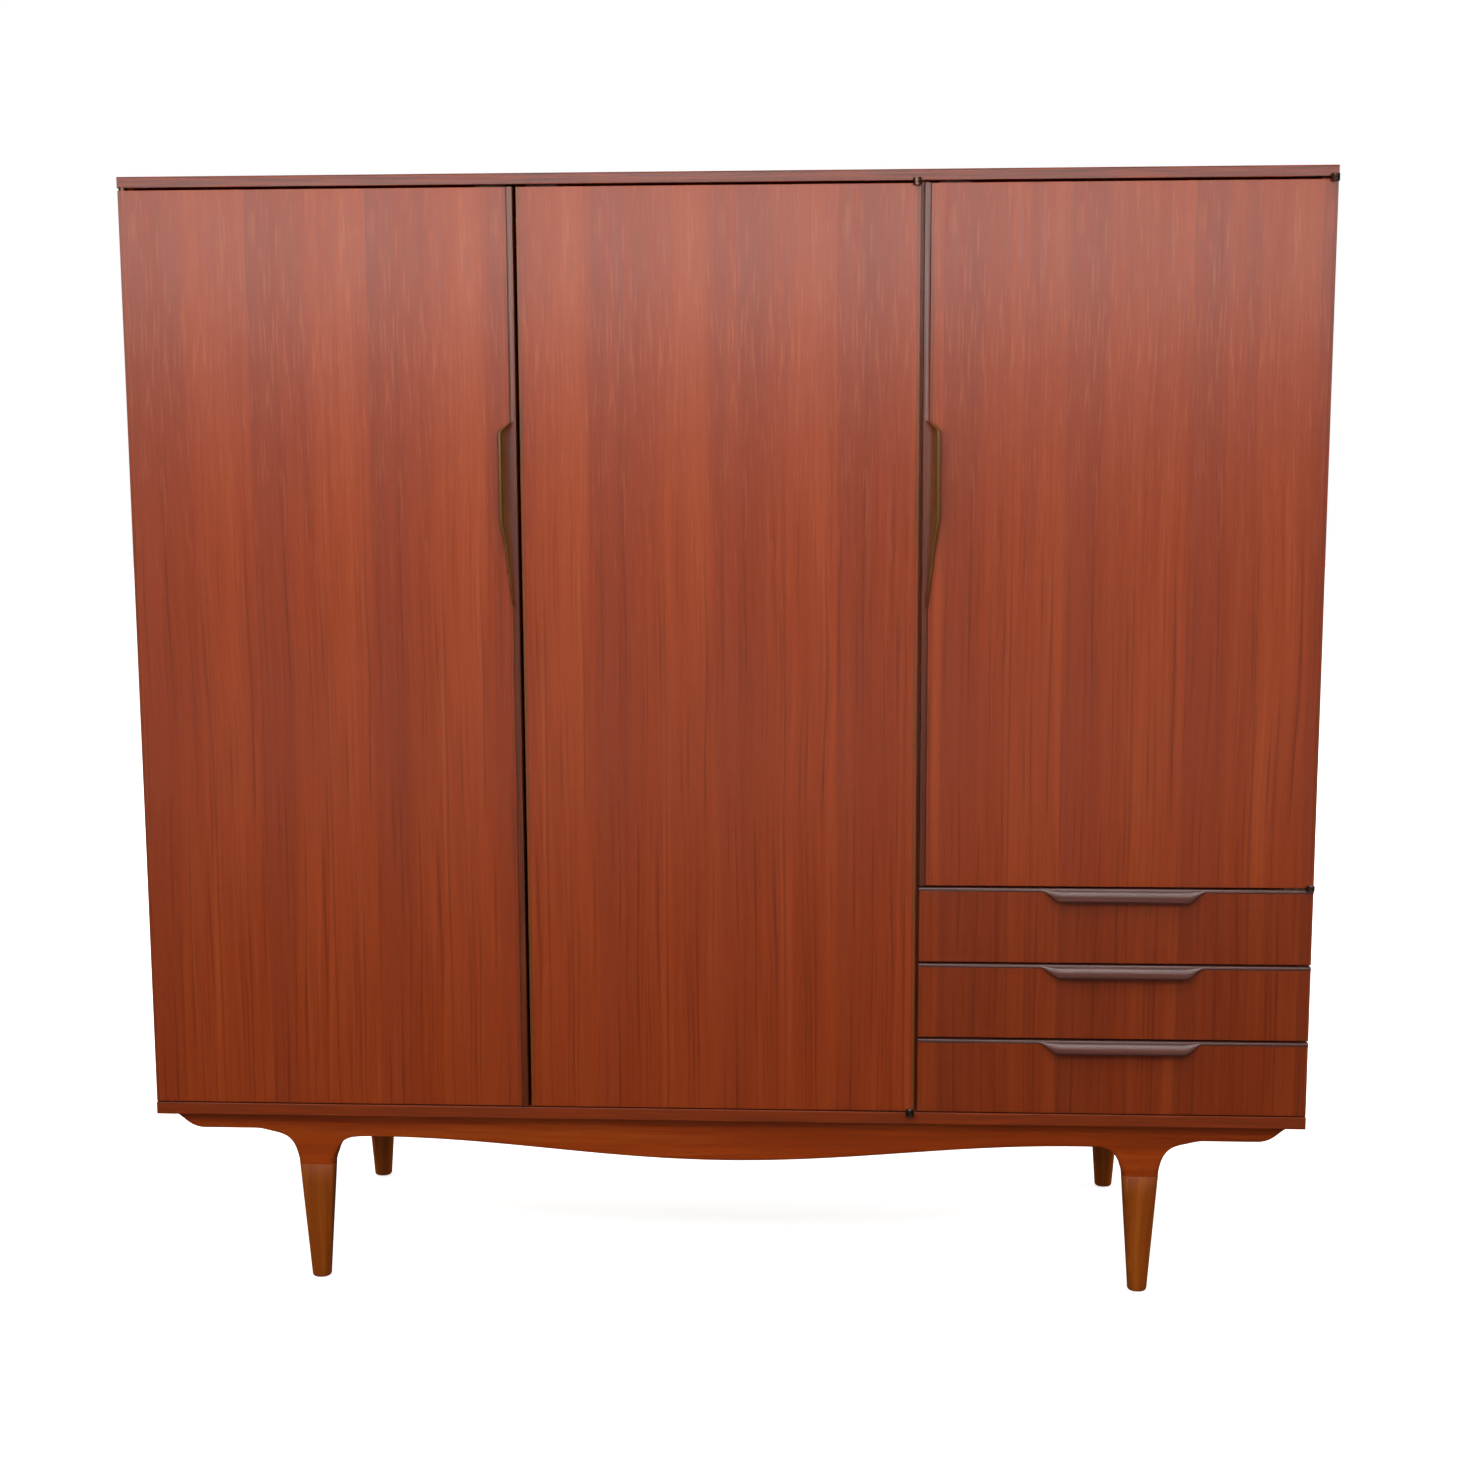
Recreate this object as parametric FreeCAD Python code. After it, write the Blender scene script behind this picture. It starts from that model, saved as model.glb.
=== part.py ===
import FreeCAD, Part
import math
import os
from collections import namedtuple
from FreeCAD import Vector

# Three-door wardrobe with three drawers, on a low frame with tapered legs.
# Millimetres. X runs to the right, Y to the back and Z up, with Z = 0 on the floor.
# The pieces are drawn with the door faces at Y = 0. They are saved with the origin under
# the middle of the whole object, pulls included.

# Overall sizes
width = 1750.0
height = 1681.0
depth = 560.0  # from the door faces to the back edges
floor_clearance = 271.0  # floor to the underside of the carcass

# Carcass boards
top_thickness = 16.0
bottom_thickness = 19.0
side_thickness = 18.0
divider_thickness = 18.0
bay_top_thickness = 16.0  # fixed shelf over the drawers
back_thickness = 4.0
back_lap = 8.0  # how far the back sheets lap onto the boards round them
board_edge_radius = 2.0

# Doors
door_thickness = 20.0
door_standoff = 1.5  # from the doors' backs to the front edges of the sides
door_top_gap = 3.6
door_bottom_gap = 2.0
door_gap = 5.0  # between neighbouring doors
door_side_margin = 0.5  # outer door edges stop this far inside the carcass
door_edge_radius = 0.8
left_gap_shift = 3.5  # the left gap lies this far outside the one-third line

# Edge strips, which carry the pulls
door_strip_width = 9.0
drawer_strip_height = 5.0
strip_proud = 1.5
strip_edge_radius = 1.2

# Pulls
door_pull_height = 27.0  # across, from the free edge of the door
door_pull_projection = 20.0
door_pull_drop = 333.0  # from the top of the door to the top of the pull
door_pull_stations = ((0, 0), (16, 1), (146, 1), (180, 0.66), (280, 0))  # way down, share
drawer_pull_height = 19.0
drawer_pull_projection = 18.0
drawer_pull_shift = 12.0  # right of the middle of the drawer
drawer_pull_stations = ((-120, 0), (-95, 1), (95, 1), (120, 0))

# Knife hinges. Two doors' pivots stand in front of the faces, and the left door's are sunk behind its face.
pivot_forward = 6.6
pivot_sunk = 6.4
pivot_inset = 6.1  # from the hinged edge of the door
eye_radius = 6.0
eye_height = 5.0
eye_play = 0.1
eye_room = 0.3  # all round a sunk eye
pin_radius = 2.5
pin_clearance = 0.05
pin_end = 0.8
foot_leaf_gap = 0.73  # from the right door down to the frame leaf under it
leaf_thickness = 2.0
leaf_length = 45.0
leaf_width = 12.0
leaf_setback = 3.0  # from the door face to the leaf
leaf_neck_width = 7.0
leaf_screw_places = (14.0, 36.0)
leaf_foot_width = 16.0
leaf_foot_reach = 62.0
leaf_foot_screws = (34.0, 52.0)

# Screws
leaf_screw = {"shank": 1.6, "head": 3.3, "length": 12.0}
small_screw = {"shank": 1.3, "head": 2.6, "length": 10.0}
back_screw = {"shank": 1.3, "head": 2.8, "length": 12.0}
base_screw = {"shank": 2.2, "head": 4.4, "length": 38.0}
back_screw_rows = 5
screw_slot_width = 0.8

# Magnetic catches, under the top by the free edges of the doors
catch_length = 44.0
catch_depth = 13.0
catch_height = 13.0
catch_inset = 35.0  # from the free edge of the door to the middle of the catch
catch_screw_reach = 15.0
catch_chamfer = 1.0
strike_thickness = 1.2
strike_width = 38.0
strike_height = 12.0
strike_drop = 0.5  # from the door's top edge to the plate
strike_screw = {"shank": 1.2, "head": 2.2, "length": 8.0}

# Hanging rail
rail_radius = 12.5
rail_drop = 75.0  # from the underside of the top to the rail's middle
rail_socket_radius = 26.0
rail_socket_depth = 16.0
rail_socket_web = 5.0
rail_clearance = 0.4
rail_screw_reach = 19.0
rail_screw_drop = 4.0

# Loose shelves and their pins
shelf_count = 3
shelf_thickness = 16.0
shelf_side_gap = 1.0
shelf_front_setback = 10.0
shelf_back_gap = 6.0
shelf_pin_radius = 3.0
shelf_pin_length = 20.0
shelf_pin_inset = 45.0

# Drawers
drawer_names = ("lower", "middle", "upper")
drawer_front_height = 113.0  # with its edge strip
drawer_gap = 3.33
drawer_front_thickness = door_thickness
drawer_side_thickness = 12.0
drawer_side_height = 86.0
drawer_side_length = 480.0
drawer_side_rise = 8.0  # from the front's lower edge to the sides
drawer_side_gap = 1.5
drawer_back_thickness = 12.0
drawer_bottom_thickness = 4.0
drawer_bottom_rise = 8.0
drawer_bottom_groove = 6.0

# Runners, which sit in grooves along the drawer sides
runner_height = 14.0
runner_proud = 8.0
runner_length = 440.0
runner_setback = 6.0
runner_top_gap = 0.3
runner_bottom_gap = 0.7
runner_side_gap = 0.5
runner_rise = 44.0  # from the drawer sides' lower edge to the runner's middle
runner_screw_inset = 40.0

# Base frame
base_end_inset = 15.0  # from the carcass end to the rail end
front_rail_setback = 24.0
back_rail_setback = 47.0
rail_thickness = 32.0
rail_height = 29.0  # at the ends
rail_end_cut = (25.0, 20.0)  # across and up, the straight part of each lower corner
rail_end_bend = (11.25, 2.7)  # from the straight part's end to a point on the curve after it
belly_depth = 30.0
arch_rise = 11.0  # the rail between the legs starts this much higher than at its ends
outer_knee = ((93, 0), (70, 4), (47, 11), (35, 23), (28.5, 43), (27.5, 57))
inner_knee = ((95, 0), (63, 1), (48, 5), (38, 15), (31, 32), (27.5, 46))
belly_points = 9
end_rail_thickness = 22.0
cross_rail_thickness = 22.0
base_screw_inset = 60.0

# Legs
leg_end_inset = 240.0  # from the carcass end to the leg's middle
leg_top_width = 55.0
leg_tip_width = 29.0
leg_top_corner = 9.0
leg_tip_corner = 13.5
leg_foot_radius = 3.5
dowel_radius = 5.0
dowel_length = 50.0
dowel_spacing = 22.0
dowel_chamfer = 1.0

# Lines and planes worked out from the sizes above
half_width = width / 2
carcass_floor = floor_clearance + bottom_thickness
top_underside = height - top_thickness
carcass_front = door_thickness + door_standoff
back_face = depth - back_thickness
inner_left = -half_width + side_thickness
inner_right = half_width - side_thickness
left_gap = -width / 6 - left_gap_shift
right_gap = width / 6
divider_left = right_gap - divider_thickness / 2
divider_right = right_gap + divider_thickness / 2
door_left = -half_width + door_side_margin
door_right = half_width - door_side_margin
door_low = carcass_floor + door_bottom_gap
door_high = top_underside - door_top_gap
drawer_pitch = drawer_front_height + drawer_gap
right_door_low = door_low + len(drawer_names) * drawer_pitch
bay_top_surface = right_door_low - foot_leaf_gap - leaf_thickness
leg_x = half_width - leg_end_inset
rail_low = floor_clearance - rail_height
arch_level = rail_low - arch_rise
leg_top = rail_low - outer_knee[-1][1]
front_leg_y = front_rail_setback + rail_thickness / 2
back_leg_y = depth - back_rail_setback - rail_thickness / 2
origin_shift = Vector(0, -(depth - door_pull_projection) / 2, 0)

up = Vector(0, 0, 1)
down = Vector(0, 0, -1)
forward = Vector(0, -1, 0)


def board(x0, x1, y0, y1, z0, z1):
    return Part.makeBox(x1 - x0, y1 - y0, z1 - z0, Vector(x0, y0, z0))


def lies_in(edge, axis, value):
    """Whether the whole edge lies in the plane axis = value."""
    return all(abs(getattr(v.Point, axis) - value) < 0.01 for v in edge.Vertexes)


def rounded(shape, radius, *planes):
    """The shape with the edges rounded that lie in every one of the planes given."""
    edges = [e for e in shape.Edges if all(lies_in(e, a, v) for a, v in planes)]
    return shape.makeFillet(radius, edges)


def cut_all(shape, tools):
    for tool in tools:
        shape = shape.cut(tool)
    return shape


def screw(point, direction, size):
    """A countersunk screw whose flat head is at point and whose tip lies along direction."""
    head_depth = size["head"] - size["shank"]
    head = Part.makeCone(size["head"], size["shank"], head_depth, point, direction)
    shank_start = point + direction * head_depth
    shank_length = size["length"] - head_depth - size["shank"]
    shank = Part.makeCylinder(size["shank"], shank_length, shank_start, direction)
    tip_start = shank_start + direction * shank_length
    tip = Part.makeCone(size["shank"], 0.0, size["shank"], tip_start, direction)
    return head.fuse(shank).fuse(tip)


def slotted(shape, point, direction, size):
    """The screw with a driver slot across its head."""
    slot = Part.makeBox(2 * size["head"], screw_slot_width, screw_slot_width)
    slot.translate(Vector(-size["head"], -screw_slot_width / 2, 0))
    slot.Placement = FreeCAD.Placement(point, FreeCAD.Rotation(up, direction)).multiply(slot.Placement)
    return shape.cut(slot)


def screws(places, size):
    """Screws with their slots, and the plain shapes that make room for them."""
    plain = [screw(point, direction, size) for point, direction in places]
    finished = [slotted(s, p, d, size) for s, (p, d) in zip(plain, places)]
    return finished, plain


def span(a, b):
    return min(a, b), max(a, b)


# ---- hinges

# side is +1 where the door lies to the right of its pivot at x, y; way is +1 where the frame is
# above the door.
Hinge = namedtuple("Hinge", "door x y side way door_edge frame_face has_foot")
left_pivot = (door_left + pivot_inset, pivot_sunk)
centre_pivot = (right_gap - door_gap / 2 - pivot_inset, -pivot_forward)
right_pivot = (door_right - pivot_inset, -pivot_forward)
hinges = (
    Hinge("left", *left_pivot, 1, 1, door_high, top_underside, False),
    Hinge("left", *left_pivot, 1, -1, door_low, carcass_floor, False),
    Hinge("centre", *centre_pivot, -1, 1, door_high, top_underside, False),
    Hinge("centre", *centre_pivot, -1, -1, door_low, carcass_floor, False),
    Hinge("right", *right_pivot, -1, 1, door_high, top_underside, False),
    Hinge("right", *right_pivot, -1, -1, right_door_low, bay_top_surface, True),
)


def eye_plane(hinge):
    """Height where the door's eye meets the frame's eye."""
    frame_side = hinge.frame_face - hinge.way * leaf_thickness if hinge.has_foot else hinge.frame_face
    return (hinge.door_edge + frame_side) / 2


def leaf_plate(hinge, z0, z1):
    """Flat part of a leaf, with the neck that reaches to the eye."""
    bar_x = span(hinge.x - hinge.side * eye_radius / 2, hinge.x + hinge.side * leaf_length)
    bar = board(*bar_x, leaf_setback, leaf_setback + leaf_width, z0, z1)
    half_neck = leaf_neck_width / 2
    neck = board(hinge.x - half_neck, hinge.x + half_neck, *span(hinge.y, leaf_setback), z0, z1)
    return bar.fuse(neck)


def upright_rod(hinge, z0, z1, radius):
    """A cylinder on the pivot line."""
    low, high = span(z0, z1)
    return Part.makeCylinder(radius, high - low, Vector(hinge.x, hinge.y, low))


def with_eye(plate, hinge, z0, z1, hole_radius):
    low, high = span(z0, z1)
    hole = upright_rod(hinge, low - leaf_width, high + leaf_width, hole_radius)
    return plate.fuse(upright_rod(hinge, low, high, eye_radius)).cut(hole).removeSplitter()


def door_leaf_plate(hinge):
    return leaf_plate(hinge, *span(hinge.door_edge, hinge.door_edge - hinge.way * leaf_thickness))


def door_eye_span(hinge):
    near = eye_plane(hinge) - hinge.way * eye_play
    return near, near - hinge.way * eye_height


def door_leaf(hinge):
    return with_eye(door_leaf_plate(hinge), hinge, *door_eye_span(hinge), pin_radius + pin_clearance)


def frame_leaf_plate(hinge):
    way, frame_face = hinge.way, hinge.frame_face
    if not hinge.has_foot:
        return leaf_plate(hinge, *span(frame_face, frame_face + way * leaf_thickness))
    z0, z1 = span(frame_face, frame_face - way * leaf_thickness)
    foot_x = span(hinge.x + hinge.side * leaf_length, hinge.x + hinge.side * (leaf_length - leaf_foot_width))
    foot = board(*foot_x, leaf_setback, leaf_foot_reach, z0, z1)
    return leaf_plate(hinge, z0, z1).fuse(foot)


def frame_eye_span(hinge):
    near = eye_plane(hinge) + hinge.way * eye_play
    return near, (hinge.frame_face if hinge.has_foot else near + hinge.way * eye_height)


def frame_leaf(hinge):
    return with_eye(frame_leaf_plate(hinge), hinge, *frame_eye_span(hinge), pin_radius)


def pin_span(hinge):
    """From the frame eye's far end to the pin's rounded end, beyond the door's eye."""
    return frame_eye_span(hinge)[1], door_eye_span(hinge)[1] - hinge.way * pin_end


def hinge_pin(hinge):
    return rounded(upright_rod(hinge, *pin_span(hinge), pin_radius), pin_end, ("z", pin_span(hinge)[1]))


def sunk_eye_room(hinge, face, way):
    """The pocket in a board for a sunk eye: it goes in at the face and runs way past the eye and pin."""
    end = pin_span(hinge)[0] if way == hinge.way else pin_span(hinge)[1]
    return [upright_rod(hinge, face, end + way * eye_room, eye_radius + eye_room)] if hinge.y > 0 else []


def leaf_screw_y():
    return leaf_setback + leaf_width / 2


def door_leaf_screw_places(hinge):
    points = [Vector(hinge.x + hinge.side * u, leaf_screw_y(), hinge.door_edge) for u in leaf_screw_places]
    return [(p, up * -hinge.way) for p in points]


def frame_leaf_screw_places(hinge):
    if not hinge.has_foot:
        xs = [hinge.x + hinge.side * u for u in leaf_screw_places]
        points = [Vector(x, leaf_screw_y(), hinge.frame_face) for x in xs]
    else:
        x = hinge.x + hinge.side * (leaf_length - leaf_foot_width / 2)
        z = hinge.frame_face - hinge.way * leaf_thickness
        points = [Vector(x, y, z) for y in leaf_foot_screws]
    return [(p, up * hinge.way) for p in points]


def hinge_sets():
    """Leaves, pins and screws of all hinges, and the shapes they take out of the wood."""
    frame_places = [p for h in hinges for p in frame_leaf_screw_places(h)]
    frame_screws, frame_holes = screws(frame_places, leaf_screw)
    leaves = [cut_all(frame_leaf(h), frame_holes) for h in hinges]
    pins = [hinge_pin(h) for h in hinges]
    room = [frame_leaf_plate(h) for h in hinges if not h.has_foot] + frame_holes
    room += [pocket for h in hinges for pocket in sunk_eye_room(h, h.frame_face, h.way)]
    return leaves, pins, frame_screws, room


def door_hinge_set(door):
    """The leaves and screws on one door, and the shapes they take out of it."""
    own = [h for h in hinges if h.door == door]
    places = [p for h in own for p in door_leaf_screw_places(h)]
    finished, holes = screws(places, leaf_screw)
    leaves = [cut_all(door_leaf(h), holes) for h in own]
    room = [door_leaf_plate(h) for h in own] + holes
    room += [pocket for h in own for pocket in sunk_eye_room(h, h.door_edge, -h.way)]
    return leaves, finished, room


# ---- catches

# Each catch: door, middle of the catch.
catches = (
    ("left", left_gap - door_gap / 2 - catch_inset),
    ("centre", left_gap + door_gap / 2 + catch_inset),
    ("right", right_gap + door_gap / 2 + catch_inset + divider_thickness / 2),
)


def catch_body(x):
    half = catch_length / 2
    y1 = carcass_front + catch_depth
    z0 = top_underside - catch_height
    body = board(x - half, x + half, carcass_front, y1, z0, top_underside)
    return body.makeChamfer(catch_chamfer, [e for e in body.Edges if lies_in(e, "z", z0)])


def catch_screw_places():
    z = top_underside - catch_height
    y = carcass_front + catch_depth / 2
    return [(Vector(x + s * catch_screw_reach, y, z), up) for _, x in catches for s in (-1, 1)]


def strike_z():
    return door_high - strike_drop - strike_height / 2


def strike_plate(x):
    z = strike_z()
    half = strike_width / 2
    y1 = door_thickness + strike_thickness
    return board(x - half, x + half, door_thickness, y1, z - strike_height / 2, z + strike_height / 2)


def strike_screw_place(x):
    return (Vector(x, door_thickness + strike_thickness, strike_z()), forward)


# ---- hanging rail

rail_y = (carcass_front + back_face) / 2
rail_z = top_underside - rail_drop


def rail_socket(x, side):
    """A round socket with an open top; side points from its wall into the wardrobe."""
    axis = Vector(side, 0, 0)
    disc = Part.makeCylinder(rail_socket_radius, rail_socket_depth, Vector(x, rail_y, rail_z), axis)
    seat_start = Vector(x + side * rail_socket_web, rail_y, rail_z)
    seat_radius = rail_radius + rail_clearance
    seat = Part.makeCylinder(seat_radius, rail_socket_depth, seat_start, axis)
    slot_x = span(x + side * rail_socket_web, x + side * 2 * rail_socket_depth)
    slot = board(*slot_x, rail_y - seat_radius, rail_y + seat_radius, rail_z, rail_z + 2 * rail_socket_radius)
    return disc.cut(seat).cut(slot)


def rail_screw_places():
    places = []
    z = rail_z - rail_screw_drop
    for x, side in ((inner_left, 1), (divider_left, -1)):
        for y in (rail_y - rail_screw_reach, rail_y + rail_screw_reach):
            places.append((Vector(x + side * rail_socket_depth, y, z), Vector(-side, 0, 0)))
    return places


def hanging_rail():
    web = rail_socket_web + rail_clearance
    x0 = inner_left + web
    x1 = divider_left - web
    start = Vector(x0, rail_y, rail_z - rail_clearance)
    return Part.makeCylinder(rail_radius, x1 - x0, start, Vector(1, 0, 0))


# ---- shelves


def shelf_levels():
    """Underside of each loose shelf, with equal spaces above and below."""
    room = top_underside - bay_top_surface
    space = (room - shelf_count * shelf_thickness) / (shelf_count + 1)
    return [bay_top_surface + (i + 1) * space + i * shelf_thickness for i in range(shelf_count)]


shelf_front = carcass_front + shelf_front_setback
shelf_back = back_face - shelf_back_gap


def loose_shelf(z):
    x0 = divider_right + shelf_side_gap
    x1 = inner_right - shelf_side_gap
    shelf = board(x0, x1, shelf_front, shelf_back, z, z + shelf_thickness)
    return rounded(shelf, door_edge_radius, ("y", shelf_front), ("z", z + shelf_thickness))


def shelf_pin(x, y, z):
    start = Vector(x - shelf_pin_length / 2, y, z - shelf_pin_radius)
    return Part.makeCylinder(shelf_pin_radius, shelf_pin_length, start, Vector(1, 0, 0))


def shelf_pins():
    rows = (shelf_front + shelf_pin_inset, shelf_back - shelf_pin_inset)
    walls = (divider_right, inner_right)
    return [shelf_pin(x, y, z) for z in shelf_levels() for x in walls for y in rows]


# ---- drawer runners


def drawer_base(index):
    return door_low + index * drawer_pitch


def runner_z(index):
    return drawer_base(index) + drawer_side_rise + runner_rise


def runner(index, side):
    """A batten on the divider (side +1) or on the right side (side -1)."""
    wall = divider_right if side > 0 else inner_right
    y0 = carcass_front + runner_setback
    z = runner_z(index)
    x0, x1 = span(wall, wall + side * runner_proud)
    return board(x0, x1, y0, y0 + runner_length, z - runner_height / 2, z + runner_height / 2)


def runner_places():
    return [(i, side) for i in range(len(drawer_names)) for side in (1, -1)]


def runner_screw_places():
    places = []
    for index, side in runner_places():
        x = (divider_right if side > 0 else inner_right) + side * runner_proud
        y0 = carcass_front + runner_setback
        for y in (y0 + runner_screw_inset, y0 + runner_length - runner_screw_inset):
            places.append((Vector(x, y, runner_z(index)), Vector(-side, 0, 0)))
    return places


# ---- back


def back_sheet(x0, x1):
    return board(x0, x1, back_face, depth, carcass_floor - back_lap, top_underside + back_lap)


back_left = inner_left - back_lap
back_right = inner_right + back_lap


def back_screw_places():
    inset = back_lap / 2
    z0 = carcass_floor - inset
    z1 = top_underside + inset
    step = (z1 - z0) / (back_screw_rows - 1)
    heights = [z0 + step * i for i in range(back_screw_rows)]
    columns = (back_left + inset, right_gap - inset, right_gap + inset, back_right - inset)
    points = [(x, z) for x in columns for z in heights]
    points += [((back_left + right_gap) / 2, z) for z in (z0, z1)]
    return [(Vector(x, depth, z), forward) for x, z in points]


# ---- carcass


def top_panel():
    panel = board(-half_width, half_width, 0, depth, top_underside, height)
    panel = rounded(panel, board_edge_radius, ("y", 0), ("z", height))
    return rounded(panel, board_edge_radius / 2, ("y", 0), ("z", top_underside))


def bottom_panel():
    panel = board(-half_width, half_width, 0, depth, floor_clearance, carcass_floor)
    panel = rounded(panel, board_edge_radius / 2, ("y", 0), ("z", carcass_floor))
    return rounded(panel, board_edge_radius, ("y", 0), ("z", floor_clearance))


def carcass_nodes():
    leaves, pins, leaf_screws, leaf_room = hinge_sets()
    rail_places = rail_screw_places()
    fitting_screws, fitting_holes = screws(rail_places + catch_screw_places(), small_screw)
    back_screws, back_holes = screws(back_screw_places(), back_screw)
    runner_screws, runner_holes = screws(runner_screw_places(), small_screw)
    pins_for_shelves = shelf_pins()
    backs = [back_sheet(back_left, right_gap), back_sheet(right_gap, back_right)]
    rim_room = backs + back_holes
    wall_room = rim_room + fitting_holes + runner_holes + pins_for_shelves
    sides = [
        board(-half_width, inner_left, carcass_front, depth, carcass_floor, top_underside),
        board(inner_right, half_width, carcass_front, depth, carcass_floor, top_underside),
    ]
    divider = board(divider_left, divider_right, carcass_front, back_face, carcass_floor, top_underside)
    bay_top_z = (bay_top_surface - bay_top_thickness, bay_top_surface)
    bay_top = board(divider_right, inner_right, carcass_front, back_face, *bay_top_z)
    sockets = [rail_socket(inner_left, 1), rail_socket(divider_left, -1)]
    runners = [runner(i, side) for i, side in runner_places()]
    return {
        "top_panel": [cut_all(top_panel(), rim_room + fitting_holes + leaf_room)],
        "bottom_panel": [cut_all(bottom_panel(), rim_room + leaf_room + base_screw_set()[1])],
        "left_side_panel": [cut_all(sides[0], wall_room)],
        "right_side_panel": [cut_all(sides[1], wall_room)],
        "centre_divider": [cut_all(divider, wall_room)],
        "drawer_bay_top": [cut_all(bay_top, leaf_room)],
        "left_back_panel": [cut_all(backs[0], back_holes)],
        "right_back_panel": [cut_all(backs[1], back_holes)],
        "back_panel_screws": back_screws,
        "hanging_rail": [hanging_rail()],
        "hanging_rail_sockets": [cut_all(s, fitting_holes) for s in sockets],
        "adjustable_shelves": [loose_shelf(z) for z in shelf_levels()],
        "shelf_pins": pins_for_shelves,
        "drawer_runners": [cut_all(r, runner_holes) for r in runners],
        "runner_screws": runner_screws,
        "hinge_frame_leaves": leaves,
        "hinge_pins": pins,
        "hinge_frame_screws": leaf_screws,
        "magnetic_catches": [cut_all(catch_body(x), fitting_holes) for _, x in catches],
        "fitting_screws": fitting_screws,
    }


# ---- base frame


def knee(points, leg, way, level):
    """Curve from the rail's lower edge down to the leg's joint; way points away from the leg."""
    return [Vector(leg + way * out, 0, level - fall) for out, fall in points]


def curve_edge(points, first_tangent=None, last_tangent=None):
    spline = Part.BSplineCurve()
    if first_tangent is None:
        spline.interpolate(points)
    else:
        spline.interpolate(points, InitialTangent=first_tangent, FinalTangent=last_tangent)
    return spline.toShape()


def line_edge(a, b):
    return Part.LineSegment(a, b).toShape()


def lower_edges(belly):
    """The rail's underside from its left end to its right end."""
    end_x = half_width - base_end_inset
    cut_x, cut_z = rail_end_cut
    rise = arch_level
    arch_half = leg_x - inner_knee[0][0]
    left_outer = knee(outer_knee, -leg_x, -1, rail_low)
    left_inner = knee(inner_knee, -leg_x, 1, rise)[::-1]
    steps = [arch_half * (2 * i / (belly_points - 1) - 1) for i in range(belly_points)]
    hang = [rise - belly * math.cos(math.pi * x / (2 * arch_half)) ** 2 for x in steps]
    arch = [Vector(x, 0, z) for x, z in zip(steps, hang)]
    corner = Vector(-end_x + cut_x, 0, floor_clearance - cut_z)
    flat = Vector(-end_x + 2 * cut_x, 0, rail_low)
    bend = Vector(corner.x + rail_end_bend[0], 0, rail_low + rail_end_bend[1])
    left = [
        line_edge(Vector(-end_x, 0, floor_clearance), corner),
        Part.Arc(corner, bend, flat).toShape(),
        line_edge(flat, left_outer[0]),
        curve_edge(left_outer, Vector(1, 0, 0), down),
        line_edge(left_outer[-1], left_inner[0]),
        curve_edge(left_inner, up, Vector(1, 0, 0)),
    ]
    mirrored = [e.mirror(Vector(0, 0, 0), Vector(1, 0, 0)) for e in left]
    middle = curve_edge(arch, Vector(1, 0, 0), Vector(1, 0, 0)) if belly else line_edge(arch[0], arch[-1])
    return left + [middle] + mirrored[::-1]


def shaped_rail(front, belly):
    """A board on edge with a shaped underside that runs down into four knees."""
    end_x = half_width - base_end_inset
    top = line_edge(Vector(-end_x, 0, floor_clearance), Vector(end_x, 0, floor_clearance))
    outline = Part.Wire(Part.__sortEdges__(lower_edges(belly) + [top]))
    rail = Part.Face(outline).extrude(Vector(0, rail_thickness, 0))
    rail.translate(Vector(0, front, 0))
    return rail


def rounded_rectangle(x, y, z, across, through, corner):
    """A closed outline in the plane at height z, centred on x, y."""
    a, b, r = across / 2, through / 2, corner
    edges = []
    for i, (sx, sy) in enumerate(((1, 1), (-1, 1), (-1, -1), (1, -1))):
        centre = Vector(x + sx * (a - r), y + sy * (b - r), z)
        start = 90 * i
        circle = Part.Circle(centre, up, r)
        edges.append(Part.Arc(circle, math.radians(start), math.radians(start + 90)).toShape())
    sides = [line_edge(edges[i].Vertexes[-1].Point, edges[(i + 1) % 4].Vertexes[0].Point) for i in range(4)]
    return Part.Wire([e for pair in zip(edges, sides) for e in pair])


def leg(x, y):
    top = rounded_rectangle(x, y, leg_top, leg_top_width, rail_thickness, leg_top_corner)
    tip = rounded_rectangle(x, y, 0, leg_tip_width, leg_tip_width, leg_tip_corner)
    shape = Part.makeLoft([tip, top], True, True)
    return rounded(shape, leg_foot_radius, ("z", 0))


def leg_spots():
    return {
        "front_left": (-leg_x, front_leg_y),
        "front_right": (leg_x, front_leg_y),
        "back_left": (-leg_x, back_leg_y),
        "back_right": (leg_x, back_leg_y),
    }


def dowels():
    low = leg_top - dowel_length / 2
    spots = [(x + s * dowel_spacing / 2, y) for x, y in leg_spots().values() for s in (-1, 1)]
    pegs = [Part.makeCylinder(dowel_radius, dowel_length, Vector(x, y, low)) for x, y in spots]
    return [p.makeChamfer(dowel_chamfer, p.Edges) for p in pegs]


rail_inner_front = front_rail_setback + rail_thickness
rail_inner_back = depth - back_rail_setback - rail_thickness


def end_rail(side):
    outer = half_width - base_end_inset - rail_end_cut[0]
    x0, x1 = span(side * outer, side * (outer - end_rail_thickness))
    return board(x0, x1, rail_inner_front, rail_inner_back, rail_low, floor_clearance)


def cross_rail(side):
    half = cross_rail_thickness / 2
    x = side * leg_x
    return board(x - half, x + half, rail_inner_front, rail_inner_back, rail_low, floor_clearance)


def base_screw_set():
    end_middle = half_width - base_end_inset - rail_end_cut[0] - end_rail_thickness / 2
    rows = (rail_inner_front + base_screw_inset, rail_inner_back - base_screw_inset)
    columns = (-end_middle, -leg_x, leg_x, end_middle)
    places = [(Vector(x, y, rail_low), up) for x in columns for y in rows]
    return screws(places, base_screw)


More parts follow.
